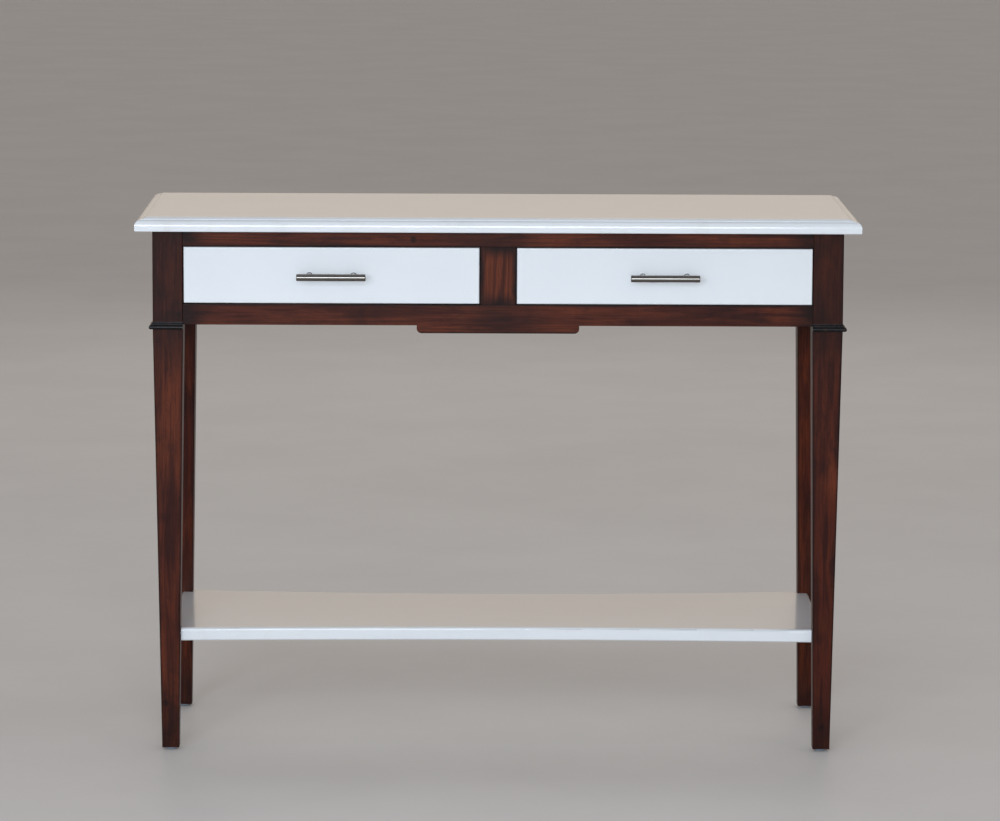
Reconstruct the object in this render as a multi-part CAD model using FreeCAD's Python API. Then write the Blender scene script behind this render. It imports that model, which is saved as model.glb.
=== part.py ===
import FreeCAD, Part
import os
from math import sqrt

# A console table: a moulded top on four square tapered legs, a frieze with two inset drawers
# that slide on wooden runners, and a lower shelf with incurved long edges.
# Millimetres, +Z up, the front faces -Y. The origin is on the floor, in the middle of the
# length and of the overall depth, which runs from the drawer pulls to the back of the top.

# Overall sizes
TOP_LENGTH = 1050.0
TOP_DEPTH = 400.0
TABLE_HEIGHT = 790.0

# Table top and its moulded edge
TOP_THICKNESS = 20.0
EDGE_INSET = 17.5
EDGE_THUMB_RADIUS = 8.8
EDGE_STEP = 1.0
EDGE_LEDGE = 3.6
EDGE_CROWN = 2.2
EDGE_UNDER_ROUND = 1.5
OVERHANG = 24.0

# Legs, their bead mouldings and foot glides
LEG_BLOCK = 44.0
LEG_FOOT = 25.0
LEG_ARRIS = 1.5
BEAD_HEIGHT = 10.5
BEAD_PROJECTION = 5.5
BEAD_ABOVE_RAIL_EDGE = 3.5
BEAD_FILLET_HEIGHT = 2.2
BEAD_COVE = 1.8
GLIDE_DIAMETER = 20.0
GLIDE_THICKNESS = 4.0
GLIDE_PIN_DIAMETER = 2.5
GLIDE_PIN_LENGTH = 12.0

# Frieze: rails, stile and aprons, flush with the outside of the legs
RAIL_THICKNESS = 20.0
TOP_RAIL_HEIGHT = 23.0
BOTTOM_RAIL_HEIGHT = 30.5
DRAWER_OPENING_HEIGHT = 84.0
STILE_WIDTH = 52.0
APRON_THICKNESS = 18.0
RAIL_ARRIS = 0.8
DROP_WIDTH = 236.0
DROP_DEPTH = 11.5
DROP_CORNER_RADIUS = 7.0

# Drawer runners, kickers and stops inside the frieze
DIVIDER_THICKNESS = 18.0
RUNNER_THICKNESS = 18.0
RUNNER_LEDGE = 22.0
RUNNER_GUIDE_HEIGHT = 27.0
KICKER_WIDTH = 40.0
CLEAT_SIZE = 20.0
STOP_WIDTH = 18.0
STOP_HEIGHT = 20.0

# Drawers
FRONT_GAP = 1.2
FRONT_THICKNESS = 18.0
FRONT_ARRIS = 1.6
DRAWER_LENGTH = 310.0
SLIDE_CLEARANCE = 0.5
KICK_GAP = 2.5
BOX_SIDE_INSET = 0.5
SIDE_THICKNESS = 12.0
BACK_THICKNESS = 12.0
BACK_DROP = 10.0
BOTTOM_THICKNESS = 6.0
BOTTOM_HEIGHT = 8.0
GROOVE_DEPTH = 6.0
BUTTON_WIDTH = 20.0
BUTTON_LENGTH = 57.0
BUTTON_THICKNESS = 12.0
BUTTON_CATCH = 10.0
BUTTON_OFFSET = 75.0

# Bar pulls
PULL_BAR_DIAMETER = 10.0
PULL_BAR_LENGTH = 100.0
PULL_POST_SPACING = 64.0
PULL_POST_DIAMETER = 8.0
PULL_STANDOFF = 24.0
PULL_BAR_CHAMFER = 0.6
PULL_SCREW_DIAMETER = 4.0
PULL_SCREW_HOLE = 4.5
PULL_SCREW_BITE = 10.0
PULL_SCREW_HEAD_DIAMETER = 8.0
PULL_SCREW_HEAD_HEIGHT = 2.6

# Lower shelf, notched round the inner corners of the legs
SHELF_TOP_HEIGHT = 181.0
SHELF_THICKNESS = 19.0
SHELF_PAST_LEG = 16.0
SHELF_NOTCH_GAP = 0.5
SHELF_SETBACK = 18.5
SHELF_FRONT_CURVE = 13.0
SHELF_BACK_CURVE = 29.0
SHELF_TOP_ARRIS = 4.0
SHELF_UNDER_BEVEL = 1.5

# Fixings
DOWEL_DIAMETER = 8.0
DOWEL_LENGTH = 36.0
BOX_DOWEL_DIAMETER = 6.0
BOX_DOWEL_LENGTH = 20.0
SCREW_DIAMETER = 4.0
SCREW_HEAD_DIAMETER = 8.0
SCREW_HEAD_HEIGHT = 2.5
TOP_SCREW_BITE = 12.0
SHELF_SCREW_LENGTH = 50.0
SHELF_PLUG_DEPTH = 6.0
STOP_SCREW_BITE = 8.0

# Heights worked out from the sizes above
UNDER_TOP = TABLE_HEIGHT - TOP_THICKNESS
OPENING_TOP = UNDER_TOP - TOP_RAIL_HEIGHT
OPENING_BOTTOM = OPENING_TOP - DRAWER_OPENING_HEIGHT
FRIEZE_BOTTOM = OPENING_BOTTOM - BOTTOM_RAIL_HEIGHT
BEAD_TOP = FRIEZE_BOTTOM + BEAD_ABOVE_RAIL_EDGE
BEAD_BOTTOM = BEAD_TOP - BEAD_HEIGHT
SHELF_MIDDLE = SHELF_TOP_HEIGHT - SHELF_THICKNESS / 2
RUNNER_BOTTOM = OPENING_BOTTOM - RUNNER_THICKNESS

# Places across the length, measured from the middle
FRAME_END = TOP_LENGTH / 2 - OVERHANG
OPENING_END = FRAME_END - LEG_BLOCK
OPENING_START = STILE_WIDTH / 2
OPENING_WIDTH = OPENING_END - OPENING_START
DRAWER_CENTRE = (OPENING_START + OPENING_END) / 2
APRON_INSIDE = FRAME_END - APRON_THICKNESS

# Places across the depth: the overall depth is centred on the origin
PULL_PROJECTION = PULL_STANDOFF + PULL_BAR_DIAMETER
TOP_MIDDLE = max(PULL_PROJECTION - OVERHANG, 0.0) / 2
TOP_FRONT = TOP_MIDDLE - TOP_DEPTH / 2
TOP_BACK = TOP_MIDDLE + TOP_DEPTH / 2
FRAME_FRONT = TOP_FRONT + OVERHANG
FRAME_BACK = TOP_BACK - OVERHANG
RAIL_BACK = FRAME_FRONT + RAIL_THICKNESS
APRON_BACK_INSIDE = FRAME_BACK - APRON_THICKNESS
DRAWER_BACK = FRAME_FRONT + DRAWER_LENGTH

LEFT = -1
RIGHT = 1
FRONT = -1
BACK = 1
X_AXIS = FreeCAD.Vector(1, 0, 0)
Y_AXIS = FreeCAD.Vector(0, 1, 0)
Z_AXIS = FreeCAD.Vector(0, 0, 1)


def point(x, y, z):
    return FreeCAD.Vector(x, y, z)


def box(x_range, y_range, z_range):
    """A block between two values on each axis, given in either order."""
    x0, x1 = sorted(x_range)
    y0, y1 = sorted(y_range)
    z0, z1 = sorted(z_range)
    return Part.makeBox(x1 - x0, y1 - y0, z1 - z0, point(x0, y0, z0))


def rod(diameter, start, axis, length):
    return Part.makeCylinder(diameter / 2, length, start, axis)


def centred_rod(diameter, middle, axis, length):
    return rod(diameter, middle - axis * (length / 2), axis, length)


def rounded(shape, radius, wanted):
    """Round every edge for which wanted(edge) is true."""
    edges = [edge for edge in shape.Edges if wanted(edge)]
    return shape.makeFillet(radius, edges)


def bevelled(shape, width, wanted):
    """Cut a flat bevel along every edge for which wanted(edge) is true."""
    edges = [edge for edge in shape.Edges if wanted(edge)]
    return shape.makeChamfer(width, edges)


def lies_on(edge, axis, value):
    """True when the whole edge has one coordinate, named by axis, at this value."""
    bounds = edge.BoundBox
    low = getattr(bounds, axis + "Min")
    high = getattr(bounds, axis + "Max")
    return abs(low - value) < 0.01 and abs(high - value) < 0.01


def cut_all(shape, tools):
    for tool in tools:
        shape = shape.cut(tool)
    return shape


def wood_screw(head, direction, length):
    """A countersunk wood screw whose head's face is at head."""
    cone = Part.makeCone(SCREW_HEAD_DIAMETER / 2, SCREW_DIAMETER / 2, SCREW_HEAD_HEIGHT, head, direction)
    start = head + direction * SCREW_HEAD_HEIGHT
    shank = rod(SCREW_DIAMETER, start, direction, length - SCREW_HEAD_HEIGHT)
    return cone.fuse(shank).removeSplitter()


# Table top

def top_edge_section(half_width, place):
    """The top's cross-section as a face: place(u, z) turns section points into space."""
    ledge_z = TABLE_HEIGHT - EDGE_CROWN
    thumb_z = ledge_z - EDGE_STEP
    nose_z = thumb_z - EDGE_THUMB_RADIUS
    corner = 1 - sqrt(0.5)

    def side(sign):
        def at(inset, z):
            return place(sign * (half_width - inset), z)

        crown_start = EDGE_THUMB_RADIUS + EDGE_LEDGE
        crown_run = EDGE_INSET - crown_start
        return [
            Part.Arc(
                at(EDGE_UNDER_ROUND, UNDER_TOP),
                at(EDGE_UNDER_ROUND * corner, UNDER_TOP + EDGE_UNDER_ROUND * corner),
                at(0, UNDER_TOP + EDGE_UNDER_ROUND),
            ).toShape(),
            Part.makeLine(at(0, UNDER_TOP + EDGE_UNDER_ROUND), at(0, nose_z)),
            Part.Arc(
                at(0, nose_z),
                at(EDGE_THUMB_RADIUS * corner, thumb_z - EDGE_THUMB_RADIUS * corner),
                at(EDGE_THUMB_RADIUS, thumb_z),
            ).toShape(),
            Part.makeLine(at(EDGE_THUMB_RADIUS, thumb_z), at(EDGE_THUMB_RADIUS, ledge_z)),
            Part.makeLine(at(EDGE_THUMB_RADIUS, ledge_z), at(crown_start, ledge_z)),
            Part.Arc(
                at(crown_start, ledge_z),
                at(crown_start + crown_run * 0.42, ledge_z + EDGE_CROWN * 0.66),
                at(EDGE_INSET, TABLE_HEIGHT),
            ).toShape(),
        ]

    under = half_width - EDGE_UNDER_ROUND
    crown = half_width - EDGE_INSET
    edges = side(RIGHT) + side(LEFT)
    edges.append(Part.makeLine(place(-under, UNDER_TOP), place(under, UNDER_TOP)))
    edges.append(Part.makeLine(place(-crown, TABLE_HEIGHT), place(crown, TABLE_HEIGHT)))
    return Part.Face(Part.Wire(Part.__sortEdges__(edges)))


def build_top(screws):
    """Two long mouldings crossed over each other, which mitres the edge at the corners."""
    along = top_edge_section(TOP_DEPTH / 2, lambda u, z: point(-TOP_LENGTH / 2, TOP_MIDDLE + u, z))
    across = top_edge_section(TOP_LENGTH / 2, lambda u, z: point(u, TOP_FRONT, z))
    slab = along.extrude(X_AXIS * TOP_LENGTH).common(across.extrude(Y_AXIS * TOP_DEPTH))
    return cut_all(slab, screws)


# Legs

def leg_centre(side, end):
    """The middle of a leg's section, for side LEFT or RIGHT and end FRONT or BACK."""
    x = side * (FRAME_END - LEG_BLOCK / 2)
    face = FRAME_FRONT if end == FRONT else FRAME_BACK
    return x, face - end * LEG_BLOCK / 2


def leg_half_width(z):
    """Half the leg's width at a height, on the tapered length under the bead."""
    share = (z - GLIDE_THICKNESS) / (BEAD_BOTTOM - GLIDE_THICKNESS)
    return (LEG_FOOT + (LEG_BLOCK - LEG_FOOT) * share) / 2


def eased_square(x, y, z, half):
    """A square outline about (x, y) with its corners eased."""
    flat = half - LEG_ARRIS
    corner = flat + LEG_ARRIS * sqrt(0.5)
    edges = []
    for turn in range(4):
        start = [point(half, -flat, 0), point(half, flat, 0)]
        arc = [point(half, flat, 0), point(corner, corner, 0), point(flat, half, 0)]
        spin = FreeCAD.Rotation(Z_AXIS, 90 * turn)
        move = point(x, y, z)
        start = [spin.multVec(p) + move for p in start]
        arc = [spin.multVec(p) + move for p in arc]
        edges.append(Part.makeLine(*start))
        edges.append(Part.Arc(*arc).toShape())
    return Part.Wire(edges)


def leg_blank(side, end):
    """The square block and the taper below it, with eased long edges and no joints cut."""
    x, y = leg_centre(side, end)
    foot = eased_square(x, y, GLIDE_THICKNESS, LEG_FOOT / 2)
    knee = eased_square(x, y, BEAD_BOTTOM, LEG_BLOCK / 2)
    taper = Part.makeLoft([foot, knee], True, True)
    block = Part.Face(knee).extrude(Z_AXIS * (UNDER_TOP - BEAD_BOTTOM))
    return taper.fuse(block)


def bead_section(face, outward, place):
    """The bead's profile in front of a face, closed along a line behind the face."""
    reach = BEAD_PROJECTION
    round_top = BEAD_BOTTOM + BEAD_HEIGHT - BEAD_COVE - BEAD_FILLET_HEIGHT
    round_radius = (round_top - BEAD_BOTTOM) / 2
    shoulder = reach - round_radius
    behind = -LEG_BLOCK

    def at(out, z):
        return place(face + outward * out, z)

    middle = BEAD_BOTTOM + round_radius
    cove_start = round_top + BEAD_FILLET_HEIGHT
    corner = BEAD_COVE * sqrt(0.5)
    edges = [
        Part.makeLine(at(behind, BEAD_BOTTOM), at(shoulder, BEAD_BOTTOM)),
        Part.Arc(at(shoulder, BEAD_BOTTOM), at(reach, middle), at(shoulder, round_top)).toShape(),
        Part.makeLine(at(shoulder, round_top), at(shoulder, cove_start)),
        Part.Arc(
            at(shoulder, cove_start),
            at(shoulder - corner, BEAD_TOP - corner),
            at(shoulder - BEAD_COVE, BEAD_TOP),
        ).toShape(),
        Part.makeLine(at(shoulder - BEAD_COVE, BEAD_TOP), at(behind, BEAD_TOP)),
        Part.makeLine(at(behind, BEAD_TOP), at(behind, BEAD_BOTTOM)),
    ]
    return Part.Face(Part.Wire(Part.__sortEdges__(edges)))


def build_bead(side, end):
    """A small moulding round the two outer faces of a leg, mitred at the corner."""
    x, y = leg_centre(side, end)
    half = LEG_BLOCK / 2
    reach = LEG_BLOCK + 2 * BEAD_PROJECTION
    start_x = x - side * half
    start_y = y - end * half
    on_end = bead_section(y + end * half, end, lambda u, z: point(start_x, u, z))
    on_side = bead_section(x + side * half, side, lambda u, z: point(u, start_y, z))
    wrap = on_end.extrude(X_AXIS * side * reach).common(on_side.extrude(Y_AXIS * end * reach))
    return wrap.cut(box((start_x, x + side * half), (start_y, y + end * half), (0, TABLE_HEIGHT)))


def build_glide(side, end):
    """A round nylon glide with a pin that is driven up into the foot."""
    x, y = leg_centre(side, end)
    disc = rod(GLIDE_DIAMETER, point(x, y, 0), Z_AXIS, GLIDE_THICKNESS)
    disc = rounded(disc, GLIDE_THICKNESS / 4, lambda edge: lies_on(edge, "Z", 0))
    pin = rod(GLIDE_PIN_DIAMETER, point(x, y, GLIDE_THICKNESS), Z_AXIS, GLIDE_PIN_LENGTH)
    return disc.fuse(pin)


# Frieze

def build_top_rail(tools):
    rail = box((-OPENING_END, OPENING_END), (FRAME_FRONT, RAIL_BACK), (OPENING_TOP, UNDER_TOP))

    def front_arris(edge):
        return lies_on(edge, "Y", FRAME_FRONT) and lies_on(edge, "Z", OPENING_TOP)

    return cut_all(rounded(rail, RAIL_ARRIS, front_arris), tools)


def build_bottom_rail(tools):
    """The rail under the drawers, with the shallow round-cornered drop in its middle."""
    rail = box((-OPENING_END, OPENING_END), (FRAME_FRONT, RAIL_BACK), (FRIEZE_BOTTOM, OPENING_BOTTOM))
    drop_half = DROP_WIDTH / 2
    drop_bottom = FRIEZE_BOTTOM - DROP_DEPTH
    drop = box((-drop_half, drop_half), (FRAME_FRONT, RAIL_BACK), (drop_bottom, OPENING_BOTTOM))
    drop = rounded(
        drop,
        DROP_CORNER_RADIUS,
        lambda edge: lies_on(edge, "Z", drop_bottom) and edge.BoundBox.YLength > RAIL_THICKNESS / 2,
    )
    rail = rail.fuse(drop).removeSplitter()

    def front_arris(edge):
        bounds = edge.BoundBox
        on_end = bounds.XLength < 0.01 and abs(abs(bounds.XMin) - OPENING_END) < 0.01
        return lies_on(edge, "Y", FRAME_FRONT) and not on_end

    return cut_all(rounded(rail, RAIL_ARRIS, front_arris), tools)


def build_stile(tools):
    stile = box((-OPENING_START, OPENING_START), (FRAME_FRONT, RAIL_BACK), (OPENING_BOTTOM, OPENING_TOP))

    def front_arris(edge):
        return lies_on(edge, "Y", FRAME_FRONT) and edge.BoundBox.ZLength > RAIL_THICKNESS

    return cut_all(rounded(stile, RAIL_ARRIS, front_arris), tools)


def build_side_apron(side, tools):
    y_range = (FRAME_FRONT + LEG_BLOCK, FRAME_BACK - LEG_BLOCK)
    apron = box((side * FRAME_END, side * APRON_INSIDE), y_range, (FRIEZE_BOTTOM, UNDER_TOP))
    apron = rounded(
        apron,
        RAIL_ARRIS,
        lambda edge: lies_on(edge, "X", side * FRAME_END) and lies_on(edge, "Z", FRIEZE_BOTTOM),
    )
    return cut_all(apron, tools)


def build_back_apron(tools):
    apron = box((-OPENING_END, OPENING_END), (APRON_BACK_INSIDE, FRAME_BACK), (FRIEZE_BOTTOM, UNDER_TOP))
    apron = rounded(
        apron,
        RAIL_ARRIS,
        lambda edge: lies_on(edge, "Y", FRAME_BACK) and lies_on(edge, "Z", FRIEZE_BOTTOM),
    )
    return cut_all(apron, tools)


def frame_dowels():
    """The dowels that join rails, aprons and stile, by the two pieces' meeting planes."""
    dowels = []
    rail_middle = FRAME_FRONT + RAIL_THICKNESS / 2
    apron_middle = FRAME_BACK - APRON_THICKNESS / 2
    apron_heights = [
        FRIEZE_BOTTOM + DOWEL_DIAMETER * 3,
        UNDER_TOP - DOWEL_DIAMETER * 3,
    ]
    rail_heights = [OPENING_TOP + TOP_RAIL_HEIGHT / 2, OPENING_BOTTOM - BOTTOM_RAIL_HEIGHT / 2]
    for side in (LEFT, RIGHT):
        for z in rail_heights:
            middle = point(side * OPENING_END, rail_middle, z)
            dowels.append(centred_rod(DOWEL_DIAMETER, middle, X_AXIS, DOWEL_LENGTH))
        for z in apron_heights:
            middle = point(side * OPENING_END, apron_middle, z)
            dowels.append(centred_rod(DOWEL_DIAMETER, middle, X_AXIS, DOWEL_LENGTH))
            for y in (FRAME_FRONT + LEG_BLOCK, FRAME_BACK - LEG_BLOCK):
                middle = point(side * (FRAME_END - APRON_THICKNESS / 2), y, z)
                dowels.append(centred_rod(DOWEL_DIAMETER, middle, Y_AXIS, DOWEL_LENGTH))
    stile_dowel = min(DOWEL_LENGTH, 2 * (TOP_RAIL_HEIGHT - DOWEL_DIAMETER))
    for z in (OPENING_BOTTOM, OPENING_TOP):
        dowels.append(centred_rod(DOWEL_DIAMETER, point(0, rail_middle, z), Z_AXIS, stile_dowel))
    return dowels


# Inside the frieze

def build_divider():
    half = DIVIDER_THICKNESS / 2
    return box((-half, half), (RAIL_BACK, APRON_BACK_INSIDE), (RUNNER_BOTTOM, UNDER_TOP))


def build_outer_runner(side):
    """A runner against the side apron: a guide between the legs and a ledge past them."""
    ledge = side * (OPENING_END - RUNNER_LEDGE)
    base = box((side * OPENING_END, ledge), (RAIL_BACK, APRON_BACK_INSIDE), (RUNNER_BOTTOM, OPENING_BOTTOM))
    guide_top = OPENING_BOTTOM + RUNNER_GUIDE_HEIGHT
    between_legs = (FRAME_FRONT + LEG_BLOCK, FRAME_BACK - LEG_BLOCK)
    guide = box((side * APRON_INSIDE, side * OPENING_END), between_legs, (RUNNER_BOTTOM, guide_top))
    return base.fuse(guide).removeSplitter()


def build_inner_runner(side):
    """A runner against the divider, with its ledge under the drawer's inner side."""
    near = side * DIVIDER_THICKNESS / 2
    y_range = (RAIL_BACK, APRON_BACK_INSIDE)
    guide_top = OPENING_BOTTOM + RUNNER_GUIDE_HEIGHT
    ledge = side * (OPENING_START + RUNNER_LEDGE)
    base = box((near, ledge), y_range, (RUNNER_BOTTOM, OPENING_BOTTOM))
    guide = box((near, side * OPENING_START), y_range, (RUNNER_BOTTOM, guide_top))
    return base.fuse(guide).removeSplitter()


def build_kicker(side, screws):
    """The lath over the middle of a drawer, which keeps it level and carries the top."""
    middle = side * DRAWER_CENTRE
    x_range = (middle - KICKER_WIDTH / 2, middle + KICKER_WIDTH / 2)
    lath = box(x_range, (RAIL_BACK, APRON_BACK_INSIDE), (OPENING_TOP, UNDER_TOP))
    return cut_all(lath, screws)


def build_top_cleat(side, screws):
    x_range = (side * APRON_INSIDE, side * (APRON_INSIDE - CLEAT_SIZE))
    y_range = (FRAME_FRONT + LEG_BLOCK, FRAME_BACK - LEG_BLOCK)
    return cut_all(box(x_range, y_range, (UNDER_TOP - CLEAT_SIZE, UNDER_TOP)), screws)


def top_screws():
    """Screws up through the kickers and cleats into the top, heads flush underneath."""
    screws = []
    kicker_span = APRON_BACK_INSIDE - RAIL_BACK
    cleat_span = FRAME_BACK - FRAME_FRONT - 2 * LEG_BLOCK
    for side in (LEFT, RIGHT):
        for share in (0.12, 0.5, 0.88):
            head = point(side * DRAWER_CENTRE, RAIL_BACK + kicker_span * share, OPENING_TOP)
            screws.append(wood_screw(head, Z_AXIS, TOP_RAIL_HEIGHT + TOP_SCREW_BITE))
        for share in (0.15, 0.85):
            x = side * (APRON_INSIDE - CLEAT_SIZE / 2)
            y = FRAME_FRONT + LEG_BLOCK + cleat_span * share
            head = point(x, y, UNDER_TOP - CLEAT_SIZE)
            screws.append(wood_screw(head, Z_AXIS, CLEAT_SIZE + TOP_SCREW_BITE))
    return screws


def closing_stops():
    """Blocks on the back ends of the runners that stop a drawer pushed in past flush."""
    stops = []
    y_range = (DRAWER_BACK + SLIDE_CLEARANCE, APRON_BACK_INSIDE)
    z_range = (OPENING_BOTTOM, OPENING_BOTTOM + STOP_HEIGHT)
    for side in (LEFT, RIGHT):
        outer = side * OPENING_END
        inner = side * OPENING_START
        stops.append(box((outer, outer - side * STOP_WIDTH), y_range, z_range))
        stops.append(box((inner, inner + side * STOP_WIDTH), y_range, z_range))
    return stops


# Lower shelf

def shelf_ends():
    """Half the shelf's length and its front and back lines at the ends."""
    inner_face = FRAME_END - LEG_BLOCK / 2 - leg_half_width(SHELF_MIDDLE)
    return inner_face + SHELF_PAST_LEG, FRAME_FRONT + SHELF_SETBACK, FRAME_BACK - SHELF_SETBACK


def shelf_board():
    """The plain board with its incurved front and back, before its edges are eased and notched."""
    end, front, back = shelf_ends()
    z = SHELF_TOP_HEIGHT - SHELF_THICKNESS
    edges = [
        Part.Arc(
            point(-end, front, z),
            point(0, front + SHELF_FRONT_CURVE, z),
            point(end, front, z),
        ).toShape(),
        Part.makeLine(point(end, front, z), point(end, back, z)),
        Part.Arc(
            point(end, back, z),
            point(0, back - SHELF_BACK_CURVE, z),
            point(-end, back, z),
        ).toShape(),
        Part.makeLine(point(-end, back, z), point(-end, front, z)),
    ]
    return Part.Face(Part.Wire(edges)).extrude(Z_AXIS * SHELF_THICKNESS)


def shelf_notch(side, end):
    """The square cut-out round a leg, with room for its taper."""
    x, y = leg_centre(side, end)
    half = leg_half_width(SHELF_TOP_HEIGHT) + SHELF_NOTCH_GAP
    return box((x - half, x + half), (y - half, y + half), (0, SHELF_TOP_HEIGHT))


def build_shelf(screws):
    """The board, notched round the legs and eased along the edges that stay open."""
    notches = [shelf_notch(side, end) for side in (LEFT, RIGHT) for end in (FRONT, BACK)]
    board = cut_all(shelf_board(), notches)
    ends_x = shelf_ends()[0]

    def open_edge(edge, z):
        curved = isinstance(edge.Curve, Part.Circle)
        return lies_on(edge, "Z", z) and (curved or abs(abs(edge.BoundBox.XMin) - ends_x) < 0.01)

    board = rounded(board, SHELF_TOP_ARRIS, lambda edge: open_edge(edge, SHELF_TOP_HEIGHT))
    under = SHELF_TOP_HEIGHT - SHELF_THICKNESS
    board = bevelled(board, SHELF_UNDER_BEVEL, lambda edge: open_edge(edge, under))
    return cut_all(board, screws)


def shelf_screw_line(side, end):
    """Where a shelf screw enters the outer side of a leg, in the middle of what the shelf meets."""
    half = leg_half_width(SHELF_MIDDLE)
    x, y = leg_centre(side, end)
    leg_inside = y - end * half
    shelf_edge = (FRAME_FRONT if end == FRONT else FRAME_BACK) - end * SHELF_SETBACK
    return x + side * half, (leg_inside + shelf_edge) / 2


def build_shelf_screw(side, end):
    x, y = shelf_screw_line(side, end)
    head = point(x - side * SHELF_PLUG_DEPTH, y, SHELF_MIDDLE)
    return wood_screw(head, X_AXIS * -side, SHELF_SCREW_LENGTH)


def build_shelf_plug(side, end, blank):
    """A wooden plug over the screw's head, trimmed flush with the leg's sloping face."""
    x, y = shelf_screw_line(side, end)
    start = point(x - side * SHELF_PLUG_DEPTH, y, SHELF_MIDDLE)
    plug = rod(SCREW_HEAD_DIAMETER, start, X_AXIS * side, 2 * SHELF_PLUG_DEPTH)
    return plug.common(blank)


# Drawers

def drawer_sizes(middle):
    """The drawer box's outer sides and its heights."""
    half = OPENING_WIDTH / 2 - FRONT_GAP - BOX_SIDE_INSET
    low = OPENING_BOTTOM + SLIDE_CLEARANCE
    high = OPENING_TOP - KICK_GAP
    return middle - half, middle + half, low, high


def pull_positions(middle):
    z = (OPENING_BOTTOM + OPENING_TOP) / 2
    return [point(middle + sign * PULL_POST_SPACING / 2, FRAME_FRONT, z) for sign in (-1, 1)]


def build_drawer_front(middle, tools):
    half = OPENING_WIDTH / 2 - FRONT_GAP
    z_range = (OPENING_BOTTOM + FRONT_GAP, OPENING_TOP - FRONT_GAP)
    board = box((middle - half, middle + half), (FRAME_FRONT, FRAME_FRONT + FRONT_THICKNESS), z_range)
    board = rounded(board, FRONT_ARRIS, lambda edge: lies_on(edge, "Y", FRAME_FRONT))
    holes = [rod(PULL_SCREW_HOLE, at, Y_AXIS, FRONT_THICKNESS) for at in pull_positions(middle)]
    return cut_all(board, holes + tools)


def build_drawer_side(middle, sign, bottom, dowels):
    left, right, low, high = drawer_sizes(middle)
    outer = right if sign > 0 else left
    y_range = (FRAME_FRONT + FRONT_THICKNESS, DRAWER_BACK)
    board = box((outer, outer - sign * SIDE_THICKNESS), y_range, (low, high))
    return cut_all(board, [bottom] + dowels)


def build_drawer_back(middle, dowels):
    """The back stands on the bottom board and stops short of the sides' top edges."""
    left, right, low, high = drawer_sizes(middle)
    x_range = (left + SIDE_THICKNESS, right - SIDE_THICKNESS)
    z_range = (low + BOTTOM_HEIGHT + BOTTOM_THICKNESS, high - BACK_DROP)
    return cut_all(box(x_range, (DRAWER_BACK - BACK_THICKNESS, DRAWER_BACK), z_range), dowels)


def build_drawer_bottom(middle):
    """A thin board held in grooves in the sides and the front."""
    left, right, low, high = drawer_sizes(middle)
    reach = SIDE_THICKNESS - GROOVE_DEPTH
    y_range = (FRAME_FRONT + FRONT_THICKNESS - GROOVE_DEPTH, DRAWER_BACK)
    z_range = (low + BOTTOM_HEIGHT, low + BOTTOM_HEIGHT + BOTTOM_THICKNESS)
    return box((left + reach, right - reach), y_range, z_range)


def drawer_dowels(middle):
    """Two small dowels at each corner of the drawer box."""
    left, right, low, high = drawer_sizes(middle)
    span = high - BACK_DROP - low - BOTTOM_HEIGHT - BOTTOM_THICKNESS
    heights = [low + BOTTOM_HEIGHT + BOTTOM_THICKNESS + span * share for share in (0.22, 0.78)]
    dowels = []
    for x in (left + SIDE_THICKNESS / 2, right - SIDE_THICKNESS / 2):
        for z in heights:
            middle_point = point(x, FRAME_FRONT + FRONT_THICKNESS, z)
            dowels.append(centred_rod(BOX_DOWEL_DIAMETER, middle_point, Y_AXIS, BOX_DOWEL_LENGTH))
    for x in (left + SIDE_THICKNESS, right - SIDE_THICKNESS):
        for z in heights:
            middle_point = point(x, DRAWER_BACK - BACK_THICKNESS / 2, z)
            dowels.append(centred_rod(BOX_DOWEL_DIAMETER, middle_point, X_AXIS, BOX_DOWEL_LENGTH))
    return dowels


def build_pull_bar(middle):
    z = (OPENING_BOTTOM + OPENING_TOP) / 2
    start = point(middle - PULL_BAR_LENGTH / 2, FRAME_FRONT - PULL_PROJECTION + PULL_BAR_DIAMETER / 2, z)
    bar = rod(PULL_BAR_DIAMETER, start, X_AXIS, PULL_BAR_LENGTH)
    ends = [edge for edge in bar.Edges if edge.BoundBox.XLength < 0.01]
    return bar.makeChamfer(PULL_BAR_CHAMFER, ends)


def build_pull_posts(middle, bar):
    """Two round posts, coped to the bar, with a threaded hole from the drawer's side."""
    posts = []
    for at in pull_positions(middle):
        length = PULL_STANDOFF + PULL_BAR_DIAMETER / 2
        post = rod(PULL_POST_DIAMETER, at, Y_AXIS * -1, length).cut(bar)
        bore = rod(PULL_SCREW_DIAMETER, at, Y_AXIS * -1, PULL_SCREW_BITE)
        posts.append(post.cut(bore))
    return posts


def build_pull_screws(middle):
    screws = []
    for at in pull_positions(middle):
        inside = at + Y_AXIS * FRONT_THICKNESS
        shank = rod(PULL_SCREW_DIAMETER, inside, Y_AXIS * -1, FRONT_THICKNESS + PULL_SCREW_BITE)
        head = rod(PULL_SCREW_HEAD_DIAMETER, inside, Y_AXIS, PULL_SCREW_HEAD_HEIGHT)
        screws.append(shank.fuse(head).removeSplitter())
    return screws


def build_stop_button(middle, screw):
    """A turn-button on the drawer's back that catches behind the top rail."""
    x = middle + BUTTON_OFFSET
    top = OPENING_TOP + BUTTON_CATCH
    face = DRAWER_BACK - BACK_THICKNESS
    x_range = (x - BUTTON_WIDTH / 2, x + BUTTON_WIDTH / 2)
    button = box(x_range, (face - BUTTON_THICKNESS, face), (top - BUTTON_LENGTH, top))
    button = rounded(button, BUTTON_WIDTH / 4, lambda edge: edge.BoundBox.YLength > BUTTON_THICKNESS / 2)
    return button.cut(screw)


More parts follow.
